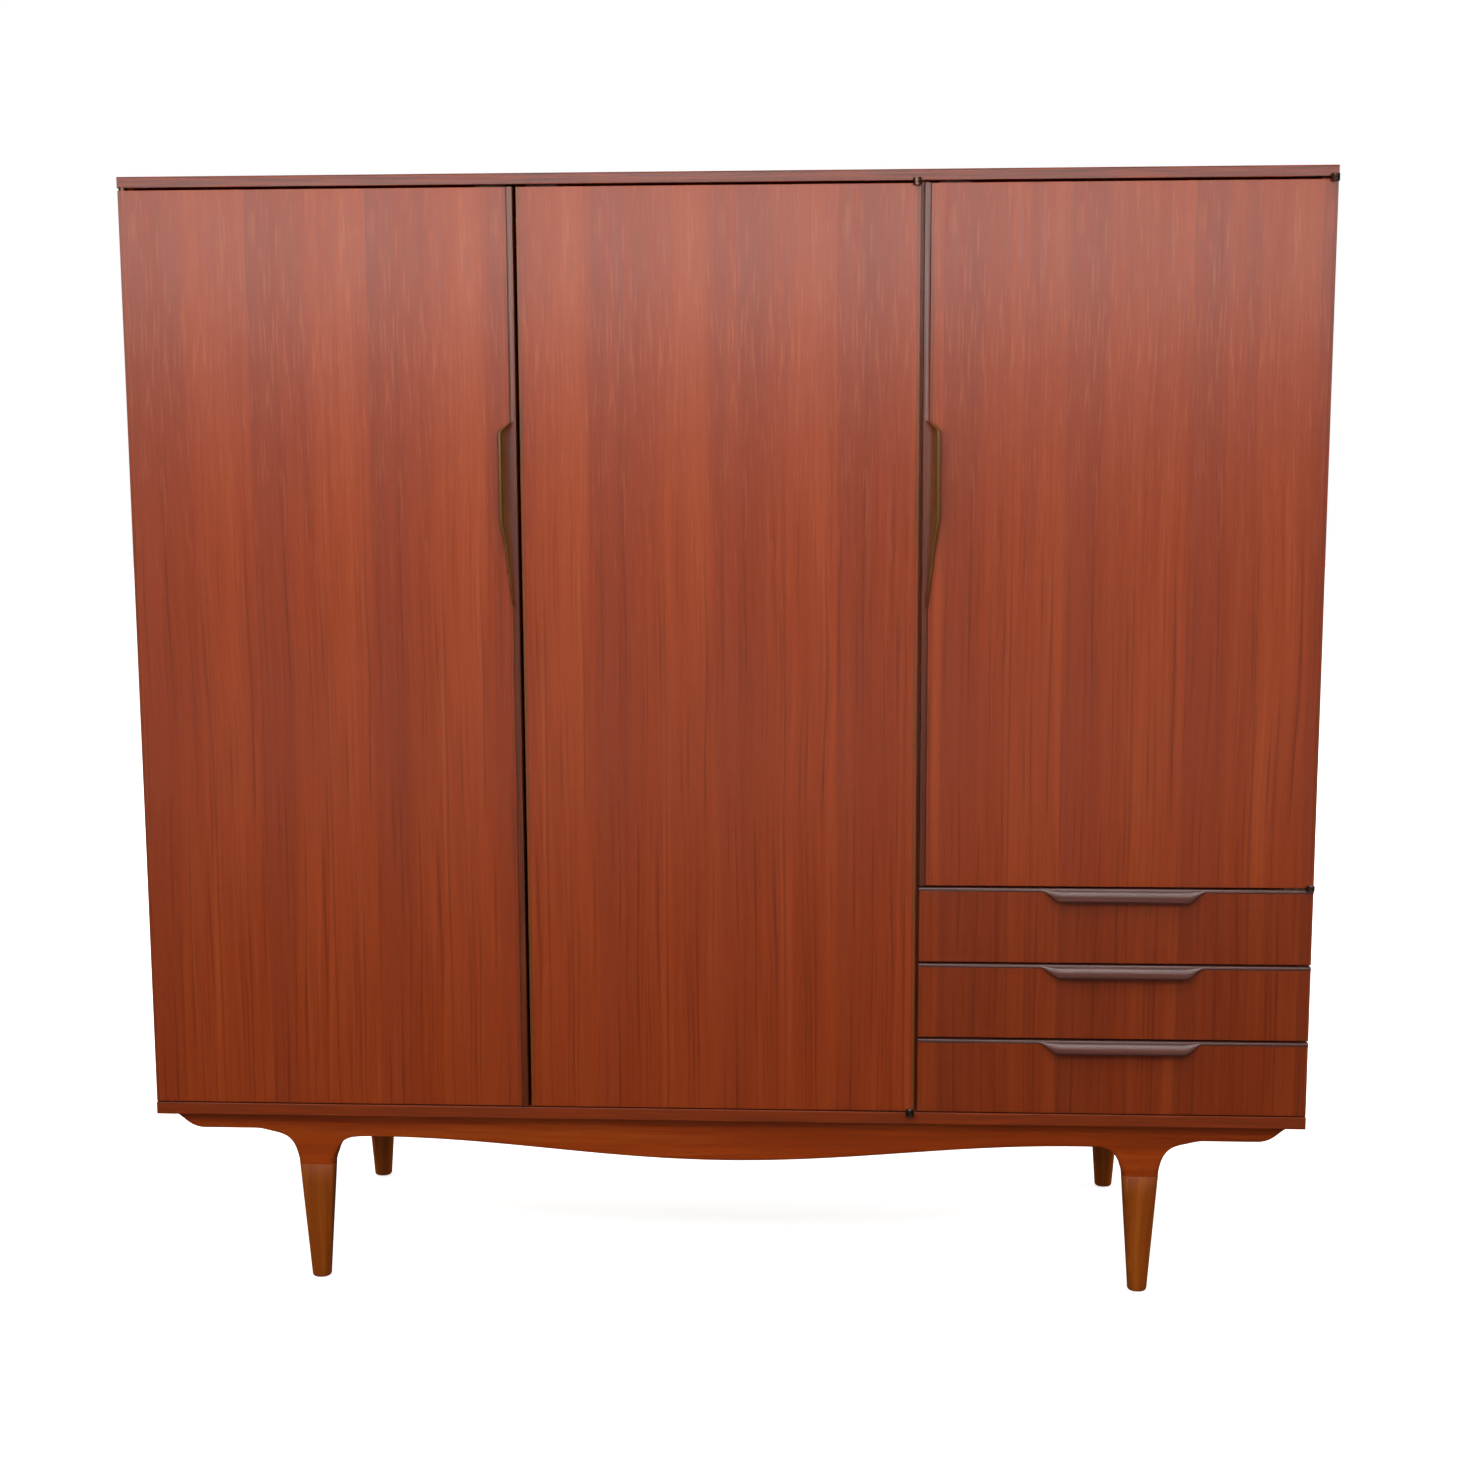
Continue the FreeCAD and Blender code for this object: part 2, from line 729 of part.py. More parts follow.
def base_nodes():
    pegs = dowels()
    finished, holes = base_screw_set()
    nodes = {
        "front_apron": [cut_all(shaped_rail(front_rail_setback, belly_depth), pegs)],
        "back_rail": [cut_all(shaped_rail(rail_inner_back, 0), pegs)],
        "end_rails": [cut_all(end_rail(side), holes) for side in (-1, 1)],
        "cross_rails": [cut_all(cross_rail(side), holes) for side in (-1, 1)],
        "leg_dowels": pegs,
        "base_screws": finished,
    }
    for name, (x, y) in leg_spots().items():
        nodes[name + "_leg"] = [cut_all(leg(x, y), pegs)]
    return nodes


# ---- pulls


def pull_section(origin, along, across, way, share, strip, full_height, full_projection):
    """Outline of the pull at one station: a scoop that opens at the free edge, then the lip."""
    h = strip + share * (full_height - strip)
    p = strip_proud + share * (full_projection - strip_proud)
    places = ((0, 0), (0, strip_proud / 2), (0.6 * h, 0.3 * p), (0.76 * h, p), (0.97 * h, 0.8 * p), (h, 0))
    points = [origin + along * way + across * a + forward * v for a, v in places]
    foot, edge, hollow, lip, under, end = points
    edges = [line_edge(foot, edge), Part.Arc(edge, hollow, lip).toShape()]
    edges += [line_edge(lip, under), line_edge(under, end), line_edge(end, foot)]
    return Part.Wire(edges)


def pull(origin, along, across, stations, strip, full_height, full_projection):
    """The grip: ruled surfaces through the sections at the stations."""
    sections = [
        pull_section(origin, along, across, way, share, strip, full_height, full_projection)
        for way, share in stations
    ]
    return Part.makeLoft(sections, True, True)


# ---- doors


def door_panel(x0, x1, z0):
    return rounded(board(x0, x1, 0, door_thickness, z0, door_high), door_edge_radius, ("y", 0))


def door_strip(free_edge, side, z0):
    """Edge strip with its pull; side points from the free edge into the door."""
    x0, x1 = span(free_edge, free_edge + side * door_strip_width)
    strip = board(x0, x1, -strip_proud, door_thickness, z0, door_high)
    strip = rounded(strip, strip_edge_radius, ("y", -strip_proud))
    start = Vector(free_edge, 0, door_high - door_pull_drop)
    sizes = (door_strip_width, door_pull_height, door_pull_projection)
    return strip.fuse(pull(start, down, Vector(side, 0, 0), door_pull_stations, *sizes))


def door_nodes(name, x0, x1, z0, free_edge, side, has_strip):
    """The pieces that swing with one door."""
    leaves, leaf_screws, room = door_hinge_set(name)
    catch_x = dict(catches)[name]
    plate_screws, plate_holes = screws([strike_screw_place(catch_x)], strike_screw)
    nodes = {
        name + "_door_panel": [cut_all(door_panel(x0, x1, z0), room + plate_holes)],
        name + "_door_hinge_leaves": leaves,
        name + "_door_strike_plate": [cut_all(strike_plate(catch_x), plate_holes)],
        name + "_door_screws": leaf_screws + plate_screws,
    }
    if has_strip:
        nodes[name + "_door_handle_strip"] = [door_strip(free_edge, side, z0)]
    return nodes


def all_door_nodes():
    left_edge = left_gap - door_gap / 2
    right_edge = right_gap + door_gap / 2
    nodes = door_nodes("left", door_left, left_edge - door_strip_width, door_low, left_edge, -1, True)
    centre_x = (left_gap + door_gap / 2, right_gap - door_gap / 2)
    nodes.update(door_nodes("centre", *centre_x, door_low, None, None, False))
    right_x = (right_edge + door_strip_width, door_right)
    nodes.update(door_nodes("right", *right_x, right_door_low, right_edge, 1, True))
    return nodes


# ---- drawers

drawer_left = right_gap + door_gap / 2
drawer_box_left = divider_right + drawer_side_gap
drawer_box_right = inner_right - drawer_side_gap
drawer_box_back = drawer_front_thickness + drawer_side_length


def drawer_bottom(base):
    z0 = base + drawer_side_rise + drawer_bottom_rise
    reach = drawer_side_thickness - drawer_bottom_groove
    y0 = drawer_front_thickness - drawer_bottom_groove
    x0 = drawer_box_left + reach
    x1 = drawer_box_right - reach
    return board(x0, x1, y0, drawer_box_back, z0, z0 + drawer_bottom_thickness)


def runner_groove(base, side):
    """Room for the runner in the outer face of a drawer side."""
    z = base + drawer_side_rise + runner_rise
    wall = drawer_box_left if side > 0 else drawer_box_right
    depth_in = runner_proud - drawer_side_gap + runner_side_gap
    x0, x1 = span(wall, wall + side * depth_in)
    z0 = z - runner_height / 2 - runner_bottom_gap
    z1 = z + runner_height / 2 + runner_top_gap
    return board(x0, x1, drawer_front_thickness, drawer_box_back, z0, z1)


def drawer_side(base, side, bottom):
    wall = drawer_box_left if side > 0 else drawer_box_right
    x0, x1 = span(wall, wall + side * drawer_side_thickness)
    z0 = base + drawer_side_rise
    shape = board(x0, x1, drawer_front_thickness, drawer_box_back, z0, z0 + drawer_side_height)
    return shape.cut(runner_groove(base, side)).cut(bottom)


def drawer_back(base):
    x0 = drawer_box_left + drawer_side_thickness
    x1 = drawer_box_right - drawer_side_thickness
    z0 = base + drawer_side_rise + drawer_bottom_rise + drawer_bottom_thickness
    z1 = base + drawer_side_rise + drawer_side_height
    return board(x0, x1, drawer_box_back - drawer_back_thickness, drawer_box_back, z0, z1)


def drawer_front(base, bottom):
    z1 = base + drawer_front_height - drawer_strip_height
    front = board(drawer_left, door_right, 0, drawer_front_thickness, base, z1)
    return rounded(front, door_edge_radius, ("y", 0)).cut(bottom)


def drawer_strip(base):
    z1 = base + drawer_front_height
    z0 = z1 - drawer_strip_height
    strip = board(drawer_left, door_right, -strip_proud, drawer_front_thickness, z0, z1)
    strip = rounded(strip, strip_edge_radius, ("y", -strip_proud))
    start = Vector((drawer_left + door_right) / 2 + drawer_pull_shift, 0, z1)
    sizes = (drawer_strip_height, drawer_pull_height, drawer_pull_projection)
    return strip.fuse(pull(start, Vector(1, 0, 0), down, drawer_pull_stations, *sizes))


def drawer_nodes(index, name):
    base = drawer_base(index)
    bottom = drawer_bottom(base)
    return {
        name + "_drawer_front": [drawer_front(base, bottom)],
        name + "_drawer_handle_strip": [drawer_strip(base)],
        name + "_drawer_sides": [drawer_side(base, side, bottom) for side in (1, -1)],
        name + "_drawer_back": [drawer_back(base)],
        name + "_drawer_bottom": [bottom],
    }


# ---- the whole wardrobe


def all_nodes():
    nodes = carcass_nodes()
    nodes.update(base_nodes())
    nodes.update(all_door_nodes())
    for index, name in enumerate(drawer_names):
        nodes.update(drawer_nodes(index, name))
    return nodes


def save(name, solids):
    shape = solids[0] if len(solids) == 1 else Part.makeCompound(solids)
    placed = shape.copy()
    placed.translate(origin_shift)
    placed.exportStep(f"parts/{name}.step")


os.makedirs("parts", exist_ok=True)
for node_name, node_solids in all_nodes().items():
    save(node_name, node_solids)
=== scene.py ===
import math

import bmesh
import bpy
from mathutils import Matrix, Vector
from mathutils.geometry import interpolate_bezier


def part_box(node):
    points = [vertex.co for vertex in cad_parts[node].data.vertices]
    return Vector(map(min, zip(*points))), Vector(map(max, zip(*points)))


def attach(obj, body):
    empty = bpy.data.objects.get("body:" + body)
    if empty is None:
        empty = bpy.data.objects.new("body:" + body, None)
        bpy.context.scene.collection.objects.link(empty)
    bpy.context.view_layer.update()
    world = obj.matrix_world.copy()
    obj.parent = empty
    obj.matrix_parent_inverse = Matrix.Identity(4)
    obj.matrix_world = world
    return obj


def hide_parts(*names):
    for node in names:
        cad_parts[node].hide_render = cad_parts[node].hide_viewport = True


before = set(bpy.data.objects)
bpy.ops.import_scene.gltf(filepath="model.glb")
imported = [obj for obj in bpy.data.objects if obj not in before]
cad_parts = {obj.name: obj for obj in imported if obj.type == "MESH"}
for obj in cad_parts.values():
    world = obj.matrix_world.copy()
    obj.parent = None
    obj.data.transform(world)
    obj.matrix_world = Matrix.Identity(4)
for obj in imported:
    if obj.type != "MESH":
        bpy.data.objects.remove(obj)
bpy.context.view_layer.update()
print("frame loaded:", len(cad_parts), "nodes")

doorFace = -0.270  # Y of the doors' and drawers' faces
levels = ("lower", "middle", "upper")
nearEnough = 0.01  # millimetres within which two heights count as one


def mm(value):
    return value / 1000


def fromHex(text):
    # an sRGB hex colour turned linear
    parts = [int(text[i:i + 2], 16) / 255 for i in (1, 3, 5)]
    return tuple(p / 12.92 if p <= 0.04045 else ((p + 0.055) / 1.055) ** 2.4 for p in parts) + (1.0,)


def addNode(tree, kind, inputs=None, stops=None, **settings):
    # adds one node, gives it its settings and ramp stops, and fills or links its inputs
    made = tree.nodes.new("ShaderNode" + kind)
    for key, value in settings.items():
        setattr(made, key, value)
    for key, value in (inputs or {}).items():
        if isinstance(value, bpy.types.NodeSocket):
            tree.links.new(value, made.inputs[key])
        else:
            made.inputs[key].default_value = value
    for i, (place, colour) in enumerate(stops or ()):
        stop = made.color_ramp.elements[i] if i < 2 else made.color_ramp.elements.new(place)
        stop.position = place
        stop.color = fromHex(colour)
    return made.outputs


def newMaterial(name):
    made = bpy.data.materials.new(name)
    made.use_nodes = True
    made.node_tree.nodes.clear()
    return made, made.node_tree


def finishMaterial(tree, colour, rough, bumpHeight, bumpDistance, gloss):
    # the surface shader that every material ends in; gloss holds constants for its own sockets
    inputs = {"Base Color": colour, "Roughness": rough}
    inputs.update(gloss)
    if bumpHeight is not None:
        bump = {"Strength": 0.6, "Distance": bumpDistance, "Height": bumpHeight}
        inputs["Normal"] = addNode(tree, "Bump", bump)[0]
    shader = addNode(tree, "BsdfPrincipled", inputs)
    addNode(tree, "OutputMaterial", {"Surface": shader[0]})


acrossOf = {"Z": ("X", "Y"), "X": ("Y", "Z"), "Y": ("X", "Z")}


def grainCoordinates(tree, along):
    # the three coordinates, the place across the grain and the place along it
    place = addNode(tree, "TexCoord")["Object"]
    xyz = addNode(tree, "SeparateXYZ", {0: place})
    one, other = acrossOf[along]
    across = addNode(tree, "Math", {0: xyz[one], 1: xyz[other]}, operation="ADD")[0]
    return xyz, across, xyz[along]


def grainNoise(tree, across, third, along, width, length, detail=2.0, rough=0.5):
    # noise drawn out along the grain: width and length are one patch's real size
    a = addNode(tree, "Math", {0: across, 1: 1 / width}, operation="MULTIPLY")[0]
    b = addNode(tree, "Math", {0: along, 1: 1 / length}, operation="MULTIPLY")[0]
    vector = addNode(tree, "CombineXYZ", {0: a, 1: third, 2: b})[0]
    inputs = {"Vector": vector, "Scale": 1.0, "Detail": detail, "Roughness": rough}
    return addNode(tree, "TexNoise", inputs)[0]


def weighedSum(tree, *pairs):
    # the values added up, each times its weight
    total = 0.0
    for value, weight in pairs:
        total = addNode(tree, "Math", {0: value, 1: weight, 2: total}, operation="MULTIPLY_ADD")[0]
    return total


# Teak veneer, knife cut and laid in leaves that repeat one figure side by side: straight reddish brown
# streaks, cooler at each leaf's start, short pale flecks high up, and a thin satin lacquer over it.
# The flecks and streaks are grain; gathering the flecks high and the streaks low is painted light and shade.
veneerLook = {
    "dark": "#7a2c0b", "mid": "#993a10", "light": "#b4501e", "cool": "#8f3a1b", "fleck": "#bf683e",
    "line": "#5e2008", "leafWidth": mm(177.5), "linePlace": 0.575, "lineWidth": 0.014, "wander": mm(4),
    "broad": mm(30), "streak": mm(7), "fine": mm(2.2), "pore": mm(0.9), "poreLength": mm(22),
    "fleckSize": (mm(3.6), mm(60)), "darkStreak": (mm(5), mm(340)), "poreShade": 0.82, "jointShade": 0.72,
    "coolShare": 0.40, "fleckShare": (0.05, 0.30), "lineShare": 0.40, "streakShare": 0.42, "bump": mm(0.08),
}
veneerGloss = {"IOR": 1.46, "Specular IOR Level": 0.40, "Coat Weight": 0.12, "Coat Roughness": 0.24}
lippingLook = {
    "width": mm(5), "joint": mm(0.45), "colour": "#7a3314", "centreDoor": "#6a4418", "top": "#582818",
}


def edgeMask(tree, value, low, high):
    # 1 within a lipping's width of either end of the span low to high, with its glue line beside it
    reach = (high - low) / 2 - lippingLook["width"]
    off = addNode(tree, "Math", {0: value, 1: (low + high) / 2}, operation="SUBTRACT")[0]
    size = addNode(tree, "Math", {0: off}, operation="ABSOLUTE")[0]
    lip = addNode(tree, "Math", {0: size, 1: reach}, operation="GREATER_THAN")[0]
    joint = addNode(tree, "Math", {0: size, 1: reach, 2: lippingLook["joint"]}, operation="COMPARE")[0]
    return lip, joint


def veneer(name, along, leafStart, lippings=(), lipping=lippingLook["colour"], paintedShade=1.0):
    # lippings are (axis, low, high) spans whose ends carry solid edge strips
    # a value below 1 in the last argument darkens the whole veneer: painted shade
    look = veneerLook
    made, tree = newMaterial(name)
    xyz, across, length = grainCoordinates(tree, along)
    shifted = addNode(tree, "Math", {0: across, 1: -leafStart}, operation="ADD")[0]
    leaf = addNode(tree, "Math", {0: shifted, 1: 1 / look["leafWidth"]}, operation="MULTIPLY")[0]
    index = addNode(tree, "Math", {0: leaf}, operation="FLOOR")[0]
    part = addNode(tree, "Math", {0: leaf}, operation="FRACT")[0]
    inLeaf = addNode(tree, "Math", {0: part, 1: look["leafWidth"]}, operation="MULTIPLY")[0]
    # the figure wanders a few millimetres along its length
    route = addNode(tree, "CombineXYZ", {0: index, 2: length})[0]
    wander = addNode(tree, "TexNoise", {"Vector": route, "Scale": 1.7, "Detail": 1.0})[0]
    bend = addNode(tree, "MapRange", {0: wander, 1: 0.3, 2: 0.7, 3: -look["wander"], 4: look["wander"]})[0]
    figure = addNode(tree, "Math", {0: inLeaf, 1: bend}, operation="ADD")[0]
    third = addNode(tree, "Math", {0: index, 1: 0.31}, operation="MULTIPLY")[0]
    broad = grainNoise(tree, figure, third, length, look["broad"], 0.9)
    medium = grainNoise(tree, figure, third, length, look["streak"], 0.42, 3.0, 0.55)
    fine = grainNoise(tree, figure, third, length, look["fine"], 0.11)
    pores = grainNoise(tree, figure, index, length, look["pore"], look["poreLength"], 1.0)
    flecks = grainNoise(tree, figure, 3.7, length, *look["fleckSize"], 1.0)
    darkStreaks = grainNoise(tree, figure, 7.3, length, *look["darkStreak"], 1.0)
    # tone across one leaf: darker at the start, warm and light towards the end
    leafTone = addNode(tree, "MapRange", {0: part, 1: 0.0, 2: 0.85, 3: 0.30, 4: 0.70},
                       interpolation_type="SMOOTHSTEP")[0]
    tone = weighedSum(tree, (broad, 0.36), (medium, 0.26), (fine, 0.14), (leafTone, 0.24))
    tone = addNode(tree, "MapRange", {0: tone, 1: 0.24, 2: 0.76})[0]
    tones = [(0.0, look["dark"]), (0.5, look["mid"]), (1.0, look["light"])]
    colour = addNode(tree, "ValToRGB", {0: tone}, tones)[0]
    # each leaf starts cooler
    cool = addNode(tree, "MapRange", {0: part, 1: 0.0, 2: 0.35, 3: look["coolShare"], 4: 0.0})[0]
    colour = addNode(tree, "Mix", {0: cool, 6: colour, 7: fromHex(look["cool"])}, data_type="RGBA")[2]
    # pale grain flecks, mostly above a metre: their growth with height is a painted highlight on the upper
    # doors
    fewest, most = look["fleckShare"]
    high = addNode(tree, "MapRange", {0: length, 1: 1.0, 2: 1.45, 3: fewest, 4: most})[0]
    fleck = addNode(tree, "MapRange", {0: flecks, 1: 0.55, 2: 0.72, 3: 0.0, 4: high})[0]
    colour = addNode(tree, "Mix", {0: fleck, 6: colour, 7: fromHex(look["fleck"])}, data_type="RGBA")[2]
    # dark streaks, and one line in each leaf, both fading out upwards: their weight low down is painted shade
    low = addNode(tree, "MapRange", {0: length, 1: 1.35, 2: 1.0, 3: 0.0, 4: 1.0})[0]
    offLine = addNode(tree, "Math", {0: part, 1: look["linePlace"]}, operation="SUBTRACT")[0]
    offLine = addNode(tree, "Math", {0: offLine}, operation="ABSOLUTE")[0]
    line = {0: offLine, 1: 0.0, 2: look["lineWidth"], 3: look["lineShare"], 4: 0.0}
    line = addNode(tree, "MapRange", line)[0]
    streak = addNode(tree, "MapRange", {0: darkStreaks, 1: 0.58, 2: 0.74, 3: 0.0, 4: look["streakShare"]})[0]
    streak = addNode(tree, "Math", {0: line, 1: streak}, operation="MAXIMUM")[0]
    streak = addNode(tree, "Math", {0: streak, 1: low}, operation="MULTIPLY")[0]
    colour = addNode(tree, "Mix", {0: streak, 6: colour, 7: fromHex(look["line"])}, data_type="RGBA")[2]
    # the last argument darkens the whole veneer here, a painted shade used on the drawer fronts
    poreShade = look["poreShade"] * paintedShade
    poreDark = addNode(tree, "MapRange", {0: pores, 1: 0.60, 2: 0.72, 3: paintedShade, 4: poreShade})[0]
    shaded = {0: 1.0, 6: colour, 7: poreDark}
    colour = addNode(tree, "Mix", shaded, data_type="RGBA", blend_type="MULTIPLY")[2]
    for axis, start, end in lippings:
        lip, joint = edgeMask(tree, xyz[axis], start, end)
        lipColour = addNode(tree, "ValToRGB", {0: fine}, [(0.3, lipping), (0.75, look["mid"])])[0]
        colour = addNode(tree, "Mix", {0: lip, 6: colour, 7: lipColour}, data_type="RGBA")[2]
        shade = addNode(tree, "MapRange", {0: joint, 3: 1.0, 4: look["jointShade"]})[0]
        shaded = {0: 1.0, 6: colour, 7: shade}
        colour = addNode(tree, "Mix", shaded, data_type="RGBA", blend_type="MULTIPLY")[2]
    rough = addNode(tree, "MapRange", {0: medium, 1: 0.3, 2: 0.7, 3: 0.29, 4: 0.37})[0]
    height = addNode(tree, "Math", {0: fine, 1: poreDark}, operation="MULTIPLY")[0]
    finishMaterial(tree, colour, rough, height, look["bump"], veneerGloss)
    return made


# Solid timber: planed, sanded and lacquered, with longer softer streaks than veneer and open pores.
def solidWood(name, along, look, gloss, ringWidth=mm(9)):
    # ringWidth is the spacing of the growth rings on the surface
    made, tree = newMaterial(name)
    xyz, across, length = grainCoordinates(tree, along)
    route = addNode(tree, "CombineXYZ", {0: across, 2: length})[0]
    wander = addNode(tree, "TexNoise", {"Vector": route, "Scale": 3.0, "Detail": 1.0})[0]
    bend = addNode(tree, "MapRange", {0: wander, 1: 0.3, 2: 0.7, 3: -mm(5), 4: mm(5)})[0]
    figure = addNode(tree, "Math", {0: across, 1: bend}, operation="ADD")[0]
    broad = grainNoise(tree, figure, 0.0, length, ringWidth * 3, 0.5)
    medium = grainNoise(tree, figure, 0.4, length, ringWidth * 0.6, 0.3, 3.0, 0.55)
    fine = grainNoise(tree, figure, 0.8, length, ringWidth * 0.2, 0.08)
    pores = grainNoise(tree, figure, 1.2, length, mm(0.8), mm(14), 1.0)
    tone = weighedSum(tree, (broad, 0.5), (medium, 0.35), (fine, 0.25))
    tone = addNode(tree, "MapRange", {0: tone, 1: 0.38, 2: 0.72})[0]
    tones = [(0.0, look["dark"]), (0.5, look["mid"]), (1.0, look["light"])]
    colour = addNode(tree, "ValToRGB", {0: tone}, tones)[0]
    if "gripFrontTone" in look:
        # the grip standing a few millimetres and more in front of the doors is browner and paler than the
        # strip
        ahead = addNode(tree, "MapRange", {0: xyz["Y"], 1: doorFace - mm(2.5), 2: doorFace - mm(8)})[0]
        colour = addNode(tree, "Mix", {0: ahead, 6: colour, 7: fromHex(look["gripFrontTone"])}, data_type="RGBA")[2]
    poreDark = addNode(tree, "MapRange", {0: pores, 1: 0.60, 2: 0.72, 3: 1.0, 4: look["poreShade"]})[0]
    shaded = {0: 1.0, 6: colour, 7: poreDark}
    colour = addNode(tree, "Mix", shaded, data_type="RGBA", blend_type="MULTIPLY")[2]
    smoothest, roughest = look["rough"] - 0.05, look["rough"] + 0.05
    rough = addNode(tree, "MapRange", {0: medium, 1: 0.3, 2: 0.7, 3: smoothest, 4: roughest})[0]
    height = addNode(tree, "Math", {0: fine, 1: poreDark}, operation="MULTIPLY")[0]
    finishMaterial(tree, colour, rough, height, mm(0.15), gloss)
    return made


teakGloss = {"IOR": 1.46, "Specular IOR Level": 0.34, "Coat Weight": 0.10, "Coat Roughness": 0.35}
stripGloss = {"IOR": 1.48, "Specular IOR Level": 0.5, "Coat Weight": 0.15, "Coat Roughness": 0.28}
scoopGloss = {"IOR": 1.5, "Specular IOR Level": 0.8, "Coat Weight": 0.6, "Coat Roughness": 0.34}
rawGloss = {"IOR": 1.45, "Specular IOR Level": 0.25}
apronLook = {"dark": "#882f03", "mid": "#a03c03", "light": "#b44e0c", "poreShade": 0.8, "rough": 0.36}
legLook = {"dark": "#80380a", "mid": "#98480b", "light": "#ae5914", "poreShade": 0.85, "rough": 0.36}
stripLook = {
    "dark": "#4a1c0a", "mid": "#63280c", "light": "#7c3a16", "poreShade": 0.75, "rough": 0.32,
    "gripFrontTone": "#6e461f",
}
# the drawer pulls' tones are dark teak with a mauve-grey tint that is a painted reflection of the sky in the
# upturned scoop
scoopLookPaintedSheen = {"dark": "#4c281e", "mid": "#5e342a", "light": "#74463c", "poreShade": 0.85, "rough": 0.36}
beechLook = {"dark": "#b48a5e", "mid": "#c79f72", "light": "#d8b78c", "poreShade": 0.88, "rough": 0.5}
plyLook = {"dark": "#a07a50", "mid": "#b89266", "light": "#cdab80", "poreShade": 0.9, "rough": 0.62}


# Brass dulled with age: brown patches nearly everywhere, and paler, shinier metal where it is rubbed.
def agedBrass(name):
    made, tree = newMaterial(name)
    place = addNode(tree, "TexCoord")["Object"]
    patches = addNode(tree, "TexNoise", {"Vector": place, "Scale": 1 / mm(7), "Detail": 4.0})[0]
    grain = addNode(tree, "TexNoise", {"Vector": place, "Scale": 1 / mm(0.8), "Detail": 2.0})[0]
    tones = [(0.40, "#3e2e26"), (0.58, "#6a5446"), (0.78, "#b4a494")]
    colour = addNode(tree, "ValToRGB", {0: patches}, tones)[0]
    rough = addNode(tree, "MapRange", {0: patches, 1: 0.35, 2: 0.7, 3: 0.55, 4: 0.28})[0]
    finishMaterial(tree, colour, rough, grain, mm(0.05), {"Metallic": 1.0})
    return made


# Zinc plated steel: cool grey, dull, with a faint cloudy plating.
def zincSteel(name):
    made, tree = newMaterial(name)
    place = addNode(tree, "TexCoord")["Object"]
    cloud = addNode(tree, "TexNoise", {"Vector": place, "Scale": 1 / mm(3), "Detail": 3.0})[0]
    colour = addNode(tree, "ValToRGB", {0: cloud}, [(0.3, "#8d9094"), (0.7, "#c2c4c6")])[0]
    rough = addNode(tree, "MapRange", {0: cloud, 1: 0.3, 2: 0.7, 3: 0.30, 4: 0.45})[0]
    finishMaterial(tree, colour, rough, cloud, mm(0.03), {"Metallic": 1.0})
    return made


# Moulded polystyrene for the magnetic catches, coloured near black brown as painted shade, so that they read
# as the shaded door gaps; smooth, slightly glossy, faintly mottled.
def catchPlasticPaintedDark(name):
    made, tree = newMaterial(name)
    place = addNode(tree, "TexCoord")["Object"]
    mottle = addNode(tree, "TexNoise", {"Vector": place, "Scale": 1 / mm(5), "Detail": 3.0})[0]
    colour = addNode(tree, "ValToRGB", {0: mottle}, [(0.3, "#2c1a12"), (0.7, "#3a241a")])[0]
    rough = addNode(tree, "MapRange", {0: mottle, 1: 0.3, 2: 0.7, 3: 0.35, 4: 0.45})[0]
    finishMaterial(tree, colour, rough, mottle, mm(0.04), {"IOR": 1.5})
    return made


def span(node, axis):
    # an axis, and the node's low and high ends on it
    low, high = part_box(node)
    i = "XYZ".index(axis)
    return axis, low[i], high[i]


# where each door's run of leaves starts, and its lipping's colour
doorLeaves = {
    "left": (mm(-867.5), lippingLook["colour"]),
    "centre": (mm(-717.5), lippingLook["centreDoor"]),
    "right": (mm(-742.5), lippingLook["colour"]),
}

boardLeafStart = {"upright": mm(20), "top": mm(-260), "bottom": mm(-260), "shelf": mm(-220)}
drawerPaintedShade = 0.82  # the drawer fronts are darker than the doors: painted shade standing for the dimmer light low on the front
doorMaterials = {
    side: veneer(side + "DoorTeakVeneer", "Z", start + doorFace,
                 [span(side + "_door_panel", "X")], lipping)
    for side, (start, lipping) in doorLeaves.items()
}
drawerMaterials = {
    level: veneer(level + "DrawerTeakVeneer", "Z", doorLeaves["right"][0] + doorFace,
                  [span(level + "_drawer_front", "X")], paintedShade=drawerPaintedShade)
    for level in levels
}
uprightVeneer = veneer("carcassTeakVeneerUpright", "Z", boardLeafStart["upright"])
topVeneer = veneer("topTeakVeneer", "X", boardLeafStart["top"], [span("top_panel", "Y")], lippingLook["top"])
bottomVeneer = veneer("bottomTeakVeneer", "X", boardLeafStart["bottom"], [span("bottom_panel", "Y")])
flatVeneer = veneer("shelfTeakVeneer", "X", boardLeafStart["shelf"])
apronTeak = solidWood("apronSolidTeak", "X", apronLook, teakGloss)
legTeak = solidWood("legSolidTeak", "Z", legLook, teakGloss, mm(7))
railTeak = solidWood("frameSolidTeak", "Y", apronLook, teakGloss)
uprightStripTeak = solidWood("doorStripDarkTeak", "Z", stripLook, stripGloss, mm(6))
levelStripTeak = solidWood("drawerStripTeakPaintedSheen", "X", scoopLookPaintedSheen, scoopGloss, mm(6))
beechAlongX = solidWood("beechAlongX", "X", beechLook, rawGloss)
beechAlongY = solidWood("beechAlongY", "Y", beechLook, rawGloss)
plywood = solidWood("birchPlywood", "Z", plyLook, rawGloss, mm(16))
drawerPly = solidWood("drawerPlywood", "X", plyLook, rawGloss, mm(16))
brass = agedBrass("agedBrass")
steel = zincSteel("zincPlatedSteel")
brown = catchPlasticPaintedDark("catchPlasticPaintedShade")
print("materials made:", len(bpy.data.materials))

